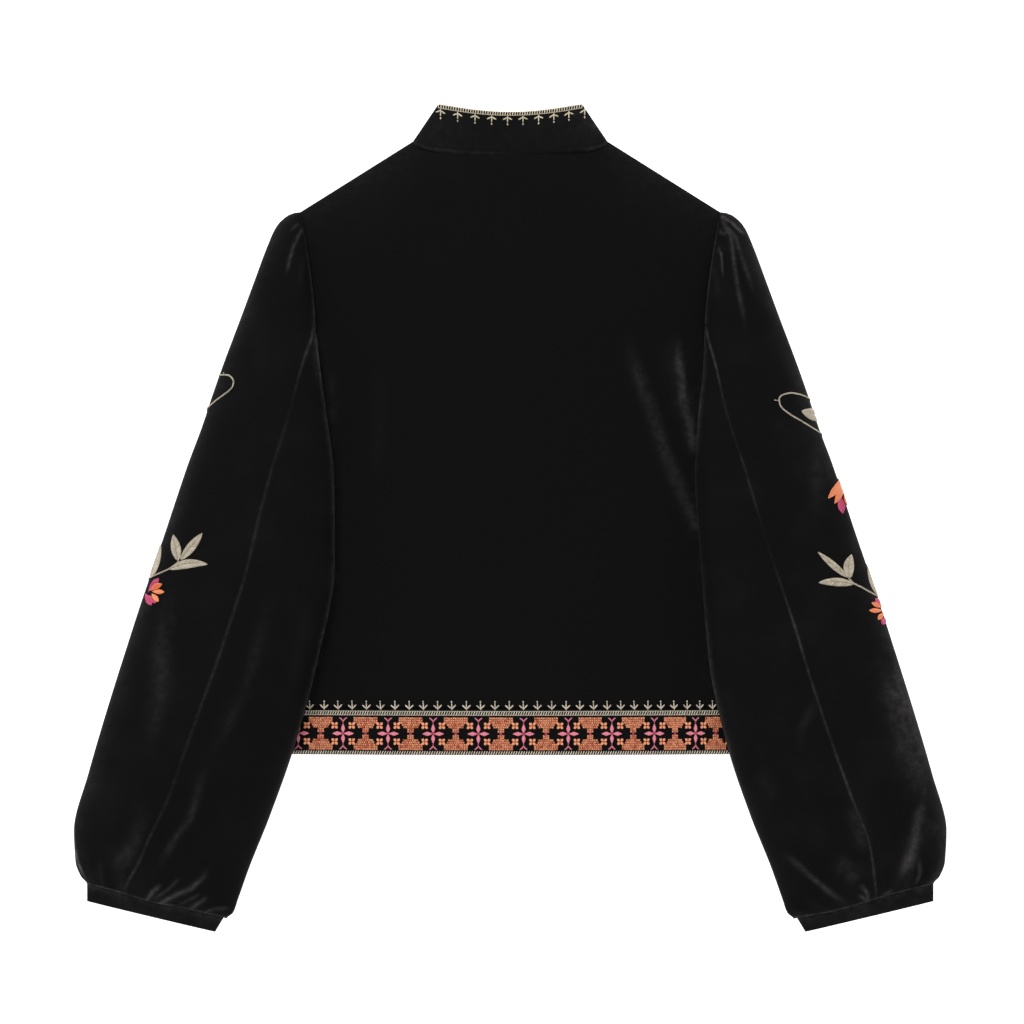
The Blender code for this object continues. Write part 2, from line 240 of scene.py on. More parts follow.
# Where the inner folds of the sleeves lie over the back, and beside it further down: y, and x left and right,
# in millimetres
FOLD_LINES = (
    (182.5, 174.6, 174.6),
    (135.0, 170.5, 173.2),
    (95.0, 165.0, 168.8),
    (35.0, 158.0, 166.0),
    (-40.0, 157.2, 171.2),
    (-130.0, 173.2, 178.6),
    (-211.0, 195.6, 196.6),
    (-268.0, 216.0, 216.0),
    (-314.0, 234.5, 234.5),
    (-343.0, 244.8, 244.8),
    (-355.5, 249.4, 249.4),
    (-360.5, 255.0, 255.0),
)
FOLD_TOP_Y = {"left": 0.1770, "right": 0.1720}


def through(keys, values, at):
    """A smooth curve through a table's column that doesn't overshoot its rows. keys run upwards."""
    keys, values = np.array(keys), np.array(values)
    rates = np.diff(values) / np.diff(keys)
    product, total = rates[:-1] * rates[1:], rates[:-1] + rates[1:]
    slopes = np.zeros_like(values)
    slopes[1:-1] = np.where(product > 0, 2 * product / np.where(total == 0, 1, total), 0)
    at = np.clip(at, keys[0], keys[-1])
    i = np.clip(np.searchsorted(keys, at, side="right") - 1, 0, len(keys) - 2)
    span = keys[i + 1] - keys[i]
    t = (at - keys[i]) / span
    swell = span * (slopes[i] * t * (1 - t) ** 2 - slopes[i + 1] * t * t * (1 - t))
    return values[i] * (1 + 2 * t) * (1 - t) ** 2 + values[i + 1] * t * t * (3 - 2 * t) + swell


def fold_line(y, word):
    """x of a sleeve's inner fold at the height y, as a distance from the middle."""
    lines = np.array(FOLD_LINES)[::-1] * MM
    return through(lines[:, 0], lines[:, 1 if word == "left" else 2], y)


def along_fold(x, y, width, rooted, path):
    """From 0 to 1 at x, y: how near it is to a fold that follows a path and fades out at its ends."""
    points = np.array(path) * MM
    steps = np.linalg.norm(np.diff(points, axis=0), axis=1)
    length, done = steps.sum(), 0.0
    nearest, along = np.full(np.shape(x), 1e9), np.zeros(np.shape(x))
    for start, end, step in zip(points[:-1], points[1:], steps):
        way = (end - start) / step
        t = np.clip((x - start[0]) * way[0] + (y - start[1]) * way[1], 0, step)
        gap = np.hypot(x - start[0] - t * way[0], y - start[1] - t * way[1])
        closer = gap < nearest
        nearest, along = np.where(closer, gap, nearest), np.where(closer, done + t, along)
        done += step
    fade = smooth((1 - along / length) * 3)
    if not rooted:
        fade = fade * smooth(along / length * 3)
    return np.exp(-((nearest / (width * MM)) ** 2)) * fade


def fold_shape(x, y, folds):
    """Height that the folds add at x, y, and how much painted sheen lies there."""
    height, painted_sheen = np.zeros(np.shape(x)), np.zeros(np.shape(x))
    # turned: how much painted sheen lies along the fold
    for tall, width, turned, rooted, path in folds:
        near = along_fold(x, y, width, rooted, path)
        height = height + tall * MM * near
        painted_sheen = np.maximum(painted_sheen, turned * near)
    return height, painted_sheen


def back_top(x, y):
    """Height of the back's outer face over the table, before its folds."""
    side = np.clip(1 - (x / SIDE_X) ** 2, 0, 1) ** SIDE_FALL
    run, fall = SHOULDER_X - NECK_X, NECK_Y - SHOULDER_Y
    below = (fall * (NECK_X - np.abs(x)) + run * (NECK_Y - y)) / math.hypot(run, fall)
    shoulder = 1 - (1 - np.clip(below / SHOULDER_ROUND, 0, 1)) ** 2
    neck = mix(1, NECK_LOFT_SHARE, smooth((y - NECK_FALL_FROM_Y) / (NECK_Y - NECK_FALL_FROM_Y)))
    return 2 * WALL + LAYER_GAP + BODY_LOFT * side * shoulder * neck


def near_seam(distance):
    """From 0 to 1 as a seam comes near."""
    return np.exp(-((distance / SEAM_DIP_WIDTH) ** 2))


def on_back(x, y):
    """Points of the back's outer face."""
    z = back_top(x, y) + fold_shape(x, y, BACK_FOLDS)[0] - SEAM_DIP * near_seam(y - BAND_TOP_Y)
    return np.stack([x, y, z], axis=-1)


half = half_shares(44, 54, 0.0)
whole = np.concatenate([-half[:0:-1], half])
back_x, back_y = panel_plan(150, whole, BACK_NECK_DROP, 1.0)
back_grid = on_back(back_x, back_y)
back_grid[..., 2] -= 0.4 * SEAM_DIP * near_seam(back_y - back_y[-1])
# Painted sheen towards the shoulders and the neck, and painted light lifting the shade beside the sleeves
worn_share = mix(SHEEN_NECK, SHEEN_SHOULDER, smooth((np.abs(back_x[-1]) - 0.0700) / 0.0300))
back_worn = worn_share * np.exp((back_y - back_y[-1]) / SHEEN_REACH)
back_painted_sheen = np.maximum(fold_shape(back_x, back_y, BACK_FOLDS)[1], back_worn)
for side, word in SIDES:
    beside = np.clip(fold_line(back_y, word) - side * back_x, 0, None)
    shadow_fill = SHADOW_FILL * np.exp(-beside / SHADOW_FILL_REACH) * smooth((FOLD_TOP_Y[word] - back_y) / 0.0300 + 0.3)
    back_painted_sheen = np.hypot(back_painted_sheen, shadow_fill)
allowance = back_grid[:, [0, -1]] + np.array([[-ALLOWANCE, 0, -WALL], [ALLOWANCE, 0, -WALL]])
back_grid = np.concatenate([allowance[:, :1], back_grid, allowance[:, 1:]], axis=1)
back_painted_sheen = np.pad(back_painted_sheen, ((0, 0), (1, 1)))
back = cloth("back", "back_panel", back_grid, velvet, back_painted_sheen)


# The stand collar. One strip of velvet, folded flat where the shoulders meet it, its ends at the centre front
# below. Its seam allowance is tucked under the back's neck edge.
COLLAR_TOP_X, COLLAR_TOP_Y = 0.0648, 0.3724
COLLAR_TOP_BACK_DROP, COLLAR_TOP_FRONT_DROP = 0.0072, 0.0630
# The free edge hangs between the corners: 1 gives it an ellipse, more than 1 straighter ends
COLLAR_EDGE_SLACK = 2.4
COLLAR_TOP_HEIGHT, COLLAR_FOLD = 0.0100, 0.0028
COLLAR_WIDTH, COLLAR_TUCK = 0.040, 0.0030
TOP_ROUNDNESS, BOTTOM_ROUNDNESS = 0.85, 0.45


def collar_points(up, turn):
    """Points of the collar's outer face, up from the neck seam and turned round it from the right fold."""
    half, corner = mix(NECK_X, COLLAR_TOP_X, up), mix(NECK_Y, COLLAR_TOP_Y, up)
    rise = np.abs(np.sin(turn))
    base_height = back_top(0.0, NECK_Y - BACK_NECK_DROP)
    height = mix(base_height, COLLAR_TOP_HEIGHT, up)
    back_y = corner - mix(BACK_NECK_DROP * rise, COLLAR_TOP_BACK_DROP * rise**COLLAR_EDGE_SLACK, up)
    front_y = corner - mix(FRONT_NECK_DROP, COLLAR_TOP_FRONT_DROP, up) * rise**FRONT_NECK_SQUARENESS
    on_top = np.sin(turn) >= 0
    z = np.where(on_top, mix(COLLAR_FOLD, height, rise**TOP_ROUNDNESS), COLLAR_FOLD * (1 - rise**0.35))
    z = z - on_top * 0.4 * SEAM_DIP * near_seam(up * COLLAR_WIDTH) * rise
    return np.stack([half * np.cos(turn), np.where(on_top, back_y, front_y), z], axis=-1)


collar_turns = np.linspace(-math.pi / 2 + 0.006, 3 * math.pi / 2 - 0.006, 180)
collar_ups = np.linspace(0, 1, 24) ** 1.3
collar_grid = collar_points(collar_ups[:, None], collar_turns[None, :])
lean = np.sin(collar_turns)
tucked = collar_grid[:1].copy()
tucked[..., 1] -= COLLAR_TUCK * np.sqrt(np.abs(lean)) + LAYER_GAP
tucked[..., 2] -= WALL * np.sign(lean) * np.sqrt(np.abs(lean))
collar_grid = np.concatenate([tucked, collar_grid])
collar_up = np.concatenate([[0], collar_ups])[:, None]
collar_edge = near_seam(collar_up * COLLAR_WIDTH * 1.6)
collar_across = np.cos(collar_turns)
# Painted sheen: lighter towards the folds at its sides and its top, and in a patch at the right fold half way
# up; and a painted highlight along the neck seam, over its left part and near the right fold
collar_worn = 0.13 + 0.10 * collar_across**2 + 0.06 * collar_up**2
at_right_fold = np.exp(-((collar_turns / 0.40) ** 2))
half_way_up = np.exp(-(((collar_up - 0.45) / 0.22) ** 2))
collar_worn = collar_worn + 0.22 * at_right_fold * half_way_up
along_edge = np.maximum(smooth(collar_across * -1.6 + 0.55), 1.3 * smooth(collar_across * 4.0 - 2.4))
collar_painted_sheen = np.maximum(collar_worn, collar_edge * 0.36 * along_edge)
collar = cloth("stand_collar", "collar", collar_grid, velvet, collar_painted_sheen, flip=True)


# The sleeves. Each is two pieces of velvet, an outer and an inner, sewn at the back seam that shows and at
# an under seam. They are eased into the armhole with small gathers, fall over the sides of the back, and
# swell to a balloon that is gathered into the cuff.
SLEEVE_COLUMNS = ("y", "outer", "rise", "crown", "fold", "under", "seam_left", "seam_right",
                  "worn_left", "worn_right", "rim_left", "rim_right")
# Sections from the shoulder to the cuff, in millimetres, keyed by the inner end's y. outer: x of the outer
# end; rise: its y less the inner end's; crown: height of the top layer; fold: height of the fold's middle;
# under: where the under seam crosses, from 0 at the inner end to 1 at the outer; and for each sleeve, seam:
# where the back seam crosses, highlight and rim: how strong the painted highlight is along that seam and
# along the inner fold
SLEEVE_ROWS = (
    (274.5, 194.5, 0.0, 6.5, 3.0, 0.000, 0.000, 0.000, 0.20, 0.28, 0.00, 0.00),
    (272.0, 200.5, 0.0, 9.0, 3.5, 0.000, 0.000, 0.000, 0.20, 0.28, 0.00, 0.00),
    (262.0, 210.5, 0.0, 14.0, 4.5, 0.000, 0.000, 0.000, 0.20, 0.36, 0.00, 0.00),
    (245.0, 218.3, 0.0, 19.0, 5.5, 0.000, 0.000, 0.000, 0.34, 0.36, 0.00, 0.00),
    (215.0, 229.5, 0.0, 24.0, 6.0, 0.000, 0.000, 0.000, 0.46, 0.44, 0.00, 0.00),
    (182.5, 241.5, 0.0, 27.0, 6.0, 0.000, 0.000, 0.000, 0.50, 0.50, 0.34, 0.30),
    (135.0, 259.3, 0.0, 29.0, 6.0, 0.120, 0.183, 0.128, 0.42, 0.50, 0.60, 0.36),
    (95.0, 273.0, 0.0, 31.0, 6.0, 0.670, 0.300, 0.234, 0.18, 0.25, 0.40, 0.42),
    (35.0, 290.4, 12.0, 33.0, 6.0, 0.660, 0.424, 0.362, 0.30, 0.30, 0.44, 0.24),
    (-40.0, 310.8, 26.0, 34.0, 6.0, 0.640, 0.480, 0.433, 0.30, 0.20, 0.42, 0.20),
    (-130.0, 337.3, 38.0, 36.0, 6.0, 0.600, 0.504, 0.503, 0.34, 0.48, 0.50, 0.46),
    (-211.0, 361.7, 42.0, 38.0, 6.0, 0.570, 0.531, 0.525, 0.28, 0.34, 0.30, 0.30),
    (-268.0, 379.6, 38.0, 37.0, 6.0, 0.550, 0.542, 0.540, 0.22, 0.42, 0.08, 0.06),
    (-314.0, 392.6, 33.0, 33.0, 6.0, 0.530, 0.582, 0.556, 0.42, 0.38, 0.05, 0.05),
    (-343.0, 391.2, 33.5, 26.0, 6.0, 0.515, 0.650, 0.560, 0.36, 0.36, 0.05, 0.05),
    (-355.5, 386.2, 32.5, 18.0, 5.5, 0.505, 0.706, 0.578, 0.30, 0.30, 0.05, 0.05),
    (-360.5, 381.2, 31.5, 11.0, 4.5, 0.500, 0.720, 0.585, 0.30, 0.30, 0.05, 0.05),
)
CUFF_TOP = np.array(((258.4, -360.6), (380.9, -329.4))) * MM
CUFF_BOTTOM = np.array(((265.6, -372.6), (380.9, -345.0))) * MM
CUFF_HEIGHT, CUFF_FOLD = 0.0100, 0.0045
SLEEVE_TOP_Y, CUFF_SEAM_Y, SLEEVE_CLEARANCE = 0.2745, -0.3605, 0.0014
# Where the folded section opens into the armhole, where the under seam sets off from the fold, and where
# the sag over the cuff sets in
OPEN_FROM_Y, OPEN_TO_Y = 0.1350, 0.1825
UNDER_FROM_Y, UNDER_RUN = 0.1540, 0.0120
SAG_FROM_Y, SAG_RUN = -0.3430, 0.0175
LIFT_PAST_SIDE, LIFT_PAST_HEM, LIFT_RAMP = 0.006, 0.034, 0.036
# Where the gathered edge sags over the cuff: the middle and half width as shares of the section, and how far
CUFF_SAG = {"left": (0.55, 0.20, 0.0018), "right": (0.34, 0.24, 0.0024)}
# How far, in millimetres, the painted highlight reaches beside each back seam
SEAM_REACH = {"left": 1.7, "right": 1.3}
# Folds of each sleeve, as BACK_FOLDS
SLEEVE_FOLDS = {
    "left": (
        (2.0, 7, 0.20, False, ((-210, -60), (-223, -104), (-237, -156), (-250, -184),
                               (-264, -208), (-274, -232))),
        (2.2, 4.5, 0.36, False, ((-266, -212), (-275, -232), (-281, -253), (-287, -270),
                                 (-301, -289), (-313, -310), (-325, -325))),
        (-2.0, 12, 0.0, False, ((-232, -90), (-256, -170), (-284, -232), (-312, -290))),
        (1.6, 10, 0.25, False, ((-306, -40), (-308, -87), (-312, -124), (-311, -152),
                                (-317, -177), (-322, -204), (-322, -246))),
        (-1.4, 12, 0.0, False, ((-290, -70), (-297, -150), (-306, -220))),
        (1.6, 9, 0.27, False, ((-326, -250), (-330, -272), (-336, -292), (-353, -314), (-362, -328))),
        (1.5, 8, 0.10, False, ((-176, -60), (-186, -120), (-200, -170))),
        (1.2, 4, 0.30, False, ((-174, 170), (-173, 148), (-171, 126), (-168, 104))),
        (2.4, 2.4, 0.60, True, ((-327, -345), (-321, -336), (-311, -327))),
        (2.6, 2.6, 0.50, True, ((-315, -347), (-298, -337), (-285, -332), (-275, -322), (-268, -309))),
        (1.4, 2.0, 0.34, True, ((-319, -342), (-305, -332), (-294, -320))),
        (2.0, 2.4, 0.44, True, ((-288, -352), (-280, -346), (-268, -338))),
        (2.0, 2.0, 0.52, True, ((-278, -356), (-265, -351), (-249, -350))),
        (1.2, 1.8, 0.30, True, ((-296, -347), (-285, -341), (-275, -336))),
        (1.8, 3, 0.14, True, ((-350, -338), (-348, -326), (-344, -308))),
        (1.8, 3, 0.12, True, ((-364, -334), (-366, -322), (-366, -304))),
        (1.4, 1.8, 0.80, False, ((-392, -276), (-392, -290), (-389, -308), (-381, -327), (-376, -330))),
        (0.6, 1.6, 0.80, True, ((-384, -328.6), (-374, -331.2), (-362, -334.2), (-350, -337.4),
                                (-338, -340.6))),
        (-1.8, 4, 0.0, True, ((-325, -346), (-312, -336), (-296, -318))),
        (-1.8, 4, 0.0, True, ((-303, -352), (-290, -342), (-272, -326))),
        (-1.6, 4, 0.0, True, ((-342, -340), (-336, -326), (-330, -308))),
        (-1.6, 4, 0.0, True, ((-357, -336), (-357, -320), (-354, -300))),
        (1.4, 2.0, 0.46, True, ((-187, 259), (-194, 244), (-197.5, 232), (-202, 212))),
        (1.2, 1.8, 0.42, False, ((-186, 264), (-192, 262.5), (-199, 256))),
        (1.0, 3, 0.10, True, ((-182, 236), (-186, 222), (-188, 204))),
    ),
    "right": (
        (1.8, 2.4, 0.44, True, ((192, 263), (198, 252), (202, 219), (205, 200), (210, 176), (212, 156))),
        (1.8, 2.4, 0.40, True, ((190, 268), (202, 252), (208, 232), (216, 208), (222, 192))),
        (1.6, 1.8, 0.62, True, ((190, 271), (199, 265), (205, 259), (216, 250))),
        (1.6, 1.4, 0.52, False, ((184, 235), (187, 242), (189.5, 236), (191, 212))),
        (1.2, 2.0, 0.40, False, ((187, 262), (190, 255), (199, 254))),
        (-1.2, 4, 0.0, True, ((186, 249), (194, 240), (198, 208))),
        (-1.2, 4, 0.0, True, ((188, 265), (204, 256), (214, 236))),
        (1.2, 3, 0.12, True, ((180, 226), (184, 214), (187, 194))),
        (1.6, 9, 0.20, False, ((276, 88), (275, 62), (275, 22), (276, -12))),
        (2.2, 9, 0.38, False, ((338, -90), (347, -141), (356, -172), (367, -206), (377, -238), (382, -262))),
        (1.6, 16, 0.36, False, ((334, -100), (348, -166), (360, -215), (374, -252), (384, -284))),
        (-1.6, 14, 0.0, False, ((318, -80), (328, -150), (345, -220))),
        (2.6, 6.5, 0.46, False, ((380, -236), (367, -265), (363, -286), (357, -308), (349, -324),
                                 (342, -340))),
        (1.6, 2.2, 0.40, False, ((365, -302), (368, -318), (363, -334))),
        (-2.0, 8, 0.0, False, ((352, -262), (344, -296), (326, -330))),
        (2.4, 3.4, 0.44, False, ((238, -295), (257, -310), (269, -321), (282, -332), (297, -343),
                                 (310, -352))),
        (-1.8, 8, 0.0, False, ((250, -285), (274, -312), (298, -332))),
        (1.4, 5, 0.20, False, ((276, -158), (262, -184), (257, -214))),
        (1.3, 8, 0.16, False, ((220, -222), (231, -240), (242, -256))),
        (1.4, 8, 0.24, False, ((303, -250), (313, -278), (318, -306))),
        (1.4, 11, 0.28, False, ((286, -302), (300, -314), (316, -328))),
        (1.2, 10, 0.22, False, ((366, -270), (380, -277), (394, -278))),
        (2.0, 2.2, 0.44, True, ((322, -346), (320, -336), (312, -326))),
        (2.0, 2.2, 0.40, True, ((321, -348), (317, -341), (311, -337))),
        (1.8, 2.4, 0.44, True, ((330, -346), (338, -338), (346, -332))),
        (1.8, 4, 0.10, True, ((286, -355), (276, -346), (262, -336))),
        (1.8, 3, 0.10, True, ((272, -358), (262, -354), (250, -350))),
        (1.8, 4, 0.14, True, ((352, -337), (356, -324), (362, -302))),
        (2.2, 5, 0.16, True, ((374, -331), (382, -318), (387, -296))),
        (-1.6, 4, 0.0, True, ((338, -342), (338, -326), (342, -306))),
        (-1.6, 4, 0.0, True, ((310, -349), (304, -336), (298, -316))),
        (-1.6, 3, 0.0, True, ((364, -334), (370, -322), (376, -302))),
    ),
}


def sleeve_sections(y, word):
    """The sleeve table's columns, in metres, at the heights y of the sections' inner ends."""
    table = np.array(SLEEVE_ROWS)[::-1]
    table[:, :5] *= MM
    found = {name: through(table[:, 0], table[:, k], y) for k, name in enumerate(SLEEVE_COLUMNS)}
    found["y"] = y
    found["inner"] = np.where(y >= ARMHOLE_TURN_Y, armhole_x(y) - 0.0002, fold_line(y, word))
    found["worn"], found["rim"] = found[f"worn_{word}"], found[f"rim_{word}"]
    found["width"] = found["outer"] - found["inner"]
    folded = y < FOLD_TOP_Y[word] + 0.0001
    at_armhole = (armhole_x(y) + 0.0004 - found["inner"]) / found["width"]
    at_armhole = at_armhole * smooth((UNDER_FROM_Y - y) / UNDER_RUN)
    found["under"] = np.where(folded, np.where(y > UNDERARM_Y, at_armhole, found["under"]), 0)
    found["seam"] = np.where(folded, found[f"seam_{word}"], 0)
    return found


def sleeve_lift(x, y):
    """Height of a sleeve's underside: on the back, ramping down to the table past the back's edges."""
    past_side = np.clip(x - SIDE_X - LIFT_PAST_SIDE, 0, None)
    past_hem = np.clip(HEM_Y - LIFT_PAST_HEM - y, 0, None)
    ramp = 1 - smooth(np.hypot(past_side, past_hem) / LIFT_RAMP)
    return (back_top(np.minimum(x, SIDE_X), np.maximum(y, HEM_Y)) + SLEEVE_CLEARANCE) * ramp


def section_turn(share, top):
    """Angle round a section: 0 at the inner fold, pi at the outer fold, over the top first."""
    angle = np.arccos(1 - 2 * np.clip(share, 0, 1))
    return angle if top else 2 * math.pi - angle


def sleeve_points(cut, turn, outer, word):
    """Points of a sleeve's outer face on the sections in cut, and how much painted sheen lies there."""
    side = 1 if word == "right" else -1
    share, top = (1 - np.cos(turn)) / 2, np.sin(turn) >= 0
    x, y = cut["inner"] + share * cut["width"], cut["y"] + share * cut["rise"]
    middle, wide, deep = CUFF_SAG[word]
    y = y - top * deep * np.exp(-(((share - middle) / wide) ** 2)) * smooth((SAG_FROM_Y - cut["y"]) / SAG_RUN)
    arch = 2 * np.sqrt(np.clip(share * (1 - share), 0, 1))
    opened = smooth((cut["y"] - OPEN_FROM_Y) / (OPEN_TO_Y - OPEN_FROM_Y))
    folded = sleeve_lift(cut["inner"], cut["y"]) + cut["fold"]
    inner_z = mix(folded, back_top(armhole_x(cut["y"]), cut["y"]), opened)
    top_z = mix(inner_z, cut["fold"], smooth(share)) + (cut["crown"] - cut["fold"]) * arch**TOP_ROUNDNESS
    rounded = cut["fold"] * (1 - arch**BOTTOM_ROUNDNESS)
    if outer:
        under_z = np.where(share > 0.5, rounded, 0)
    else:
        under_z = sleeve_lift(x, y) + np.where(share < 0.5, rounded, 0)
    shaped, painted_sheen = fold_shape(side * x, y, SLEEVE_FOLDS[word])
    to_seam, to_cuff = np.abs(share - cut["seam"]) * cut["width"], cut["y"] - CUFF_SEAM_Y
    top_z = top_z + shaped * smooth(arch * 2.2) - 0.3 * SEAM_DIP * (near_seam(to_seam) + near_seam(to_cuff))
    to_inner, to_outer = share * cut["width"], (1 - share) * cut["width"]
    # Painted highlights along the back seam, the cuff seam and the inner fold, and painted sheen along the
    # outer fold
    edges = ((cut["worn"], SEAM_REACH[word], to_seam), (0.62, 1.7, to_cuff),
             (cut["rim"], 3.0, to_inner), (0.24, 12, to_outer))
    for worn, reach, distance in edges:
        painted_sheen = np.maximum(painted_sheen, worn * np.exp(-((distance / (reach * MM)) ** 2)))
    return np.stack([side * x, y, np.where(top, top_z, under_z)], axis=-1), np.where(top, painted_sheen, 0)


def sleeve_grid(heights, columns, outer, word):
    """One of a sleeve's two pieces, from back seam to under seam round a fold, finest at the back seam."""
    cut = {name: value[:, None] for name, value in sleeve_sections(heights, word).items()}
    start = section_turn(cut["seam"], True)
    end = section_turn(cut["under"], False) - (0 if outer else 2 * math.pi)
    step = np.linspace(0, 1, columns)
    turn = mix(start, end, step * (0.12 + 0.88 * step))
    return sleeve_points(cut, turn, outer, word)


head_ys = np.linspace(SLEEVE_TOP_Y, 0.1000, 80, endpoint=False)
arm_ys = np.linspace(0.1000, -0.3000, 140, endpoint=False)
gathered_ys = np.linspace(-0.3000, CUFF_SEAM_Y, 50)
sleeve_heights = np.concatenate([head_ys, arm_ys, gathered_ys])
# The sleeves' copies of the velvet carry stronger patches of painted sheen; the right one's colours are a
# little lighter and warmer, painted sheen as well
sleeve_velvet = {"left": make_velvet("black cotton velvet, handled", "#0D0D0D", "#585658", 0.08, 0.17),
                 "right": make_velvet("black cotton velvet, brushed", "#0E0D0D", "#605D5D", 0.08, 0.18)}
for side, word in SIDES:
    grid, painted_sheen = sleeve_grid(sleeve_heights, 96, True, word)
    cloth(f"{word}_sleeve_outer", f"sleeve_{word}_outer", grid, sleeve_velvet[word],
                               painted_sheen, flip=side > 0)
    heights = np.concatenate([[FOLD_TOP_Y[word]], sleeve_heights[sleeve_heights < FOLD_TOP_Y[word] - 0.001]])
    grid, painted_sheen = sleeve_grid(heights, 96, False, word)
    inner = cloth(f"{word}_sleeve_inner", f"sleeve_{word}_inner", grid, sleeve_velvet[word],
                  painted_sheen, flip=side < 0)


# The cuffs. Narrow closed bands of velvet that the balloons are gathered into, their allowance tucked inside,
# with painted sheen over them and a painted highlight along the seam.
cuff_turns = np.linspace(0, 2 * math.pi, 120, endpoint=False)
cuff_share, cuff_arch = (1 - np.cos(cuff_turns)) / 2, np.abs(np.sin(cuff_turns))
cuff_downs = np.append(-0.25, np.linspace(0, 1, 9))[:, None]
for side, word in SIDES:
    ends = [mix(CUFF_TOP[k][None, :], CUFF_BOTTOM[k][None, :], cuff_downs) for k in (0, 1)]
    x = mix(ends[0][:, :1], ends[1][:, :1], cuff_share[None, :])
    y = mix(ends[0][:, 1:], ends[1][:, 1:], cuff_share[None, :])
    z = np.where(np.sin(cuff_turns) >= 0, CUFF_FOLD + (CUFF_HEIGHT - CUFF_FOLD) * cuff_arch**TOP_ROUNDNESS,
                 CUFF_FOLD * (1 - cuff_arch**BOTTOM_ROUNDNESS))
    roll = np.where(cuff_downs < 0, 1.5 * WALL, 0.0012 * (cuff_downs - 0.5) ** 2 * 4)
    z = np.where(np.sin(cuff_turns)[None, :] > 0, z[None, :] - roll * cuff_arch[None, :], z[None, :])
    grid = np.stack([side * x, y, z], axis=-1)
    # Painted sheen over the cuff, stronger as a painted highlight along its seam
    painted_sheen = 0.14 + 0.22 * np.exp(-((cuff_downs / 0.25) ** 2)) + 0.06 * cuff_share[None, :]
    cuff = cloth(f"{word}_cuff", f"cuff_{word}", grid, sleeve_velvet[word],
                 painted_sheen, flip=side > 0, closed=True)


# The border round the hem. Strips of black cotton, sewn below the panels with their allowance tucked under
# the back; the two on the fronts are hidden and left plain.
# Woven cotton: a dull black with hardly any sheen, and only faint patches of painted sheen
ground = make_velvet("black woven cotton", "#0E0E0E", "#3A393A", 0.02, 0.10)
band_ys = np.append(np.linspace(HEM_Y, BAND_TOP_Y - LAYER_GAP, 14), BAND_TOP_Y + ALLOWANCE)


def on_band(x, y):
    """Points of the back border's outer face."""
    tucked = WALL * smooth((y - BAND_TOP_Y) / 0.0020)
    return np.stack([x, y, back_top(x, y) - SEAM_DIP * near_seam(y - BAND_TOP_Y) - tucked], axis=-1)


band_x, band_y = np.meshgrid(whole * SIDE_X, band_ys)
band = cloth("back_border", "hem_band_back", on_band(band_x, band_y), ground)
for side, word in SIDES:
    x, y = np.meshgrid(np.linspace(FRONT_GAP, SIDE_X, 30), band_ys[:-1])
    grid = np.stack([side * x, y, np.zeros_like(x)], axis=-1)
    front_band = cloth(f"{word}_front_border", f"hem_band_front_{word}", grid, ground,
                       flip=side > 0)


# The border's embroidery. Orange cotton in cross stitch over counted threads, pink satin-stitch flowers
# between, and a beige rope of slanted stitches along both edges, with a row of beige sprigs above it on the
# velvet.
random = np.random.default_rng(7)
REPEAT, FLOWER_AT, MOTIF_AT, BAND_MIDDLE_Y = 0.0405, 0.0120, 0.03225, -0.1936
# The real cells are about half this size; they are drawn coarser, so that single stitches still show from
# the camera
CELL, CHART_ROWS = 0.00197, 15
CROSS_RADIUS = 0.00050
# Rows of one motif from the edge to the middle: first row, last row, cells across
MOTIF_TIERS = ((0, 2, 11), (3, 3, 8), (4, 4, 7), (5, 6, 3))
# Rosettes beside the tiers: x and y of the middle from the motif's, and how far their four knots lie from it
ROSETTES, ROSETTE_RADIUS = ((-0.0124, 0.0072), (0.0127, 0.0072)), 0.00152
# The velvet is drawn in towards the right side seam, so the repeats close up there
DRAWN_IN = 0.287


def drawn_in(along):
    """x of a place that far along the hem."""
    return along - DRAWN_IN * np.maximum(along - FLOWER_AT, 0) ** 2


def along_band(along, y):
    return on_band(drawn_in(along), y)


def along_back(along, y):
    return on_back(drawn_in(along), y)


def shades(middle, spread, count):
    """A shade from 0 to 1 for each of so many threads."""
    return np.clip(random.normal(middle, spread, count), 0, 1)


def lay(surface, paths, radius, lift, tint):
    """Threads on a surface. paths: places on it by thread and point; radius and lift: by point, or one."""
    paths = np.asarray(paths, dtype=float)
    threads, points = paths.shape[:2]
    radius, lift = np.broadcast_to(radius, (threads, points)), np.broadcast_to(lift, (threads, points))
    u, v, e = paths[..., 0], paths[..., 1], 0.0001
    centre = surface(u, v)
    normal = np.cross(surface(u + e, v) - surface(u - e, v), surface(u, v + e) - surface(u, v - e))
    normal /= np.linalg.norm(normal, axis=-1, keepdims=True)
    centre = centre + normal * lift[..., None]
    along = np.gradient(centre, axis=1)
    across = np.cross(along, normal)
    across /= np.linalg.norm(across, axis=-1, keepdims=True)
    ring = np.stack([across, normal, -across, -normal], axis=2) * radius[..., None, None]
    vertices = (centre[:, :, None, :] + ring).reshape(-1, 3)
    index = np.arange(threads * points * 4).reshape(threads, points, 4)
    turned = np.roll(index, -1, axis=2)
    sides = np.stack([index[:, :-1], index[:, 1:], turned[:, 1:], turned[:, :-1]], axis=-1).reshape(-1, 4)
    faces = np.concatenate([sides, index[:, 0, :], index[:, -1, ::-1]])
    length = np.linalg.norm(np.diff(centre, axis=1), axis=-1)
    run = np.concatenate([np.zeros((threads, 1)), np.cumsum(length, axis=1)], axis=1)
    return vertices, faces, np.repeat(np.broadcast_to(tint, threads), points * 4), np.repeat(run.ravel(), 4)


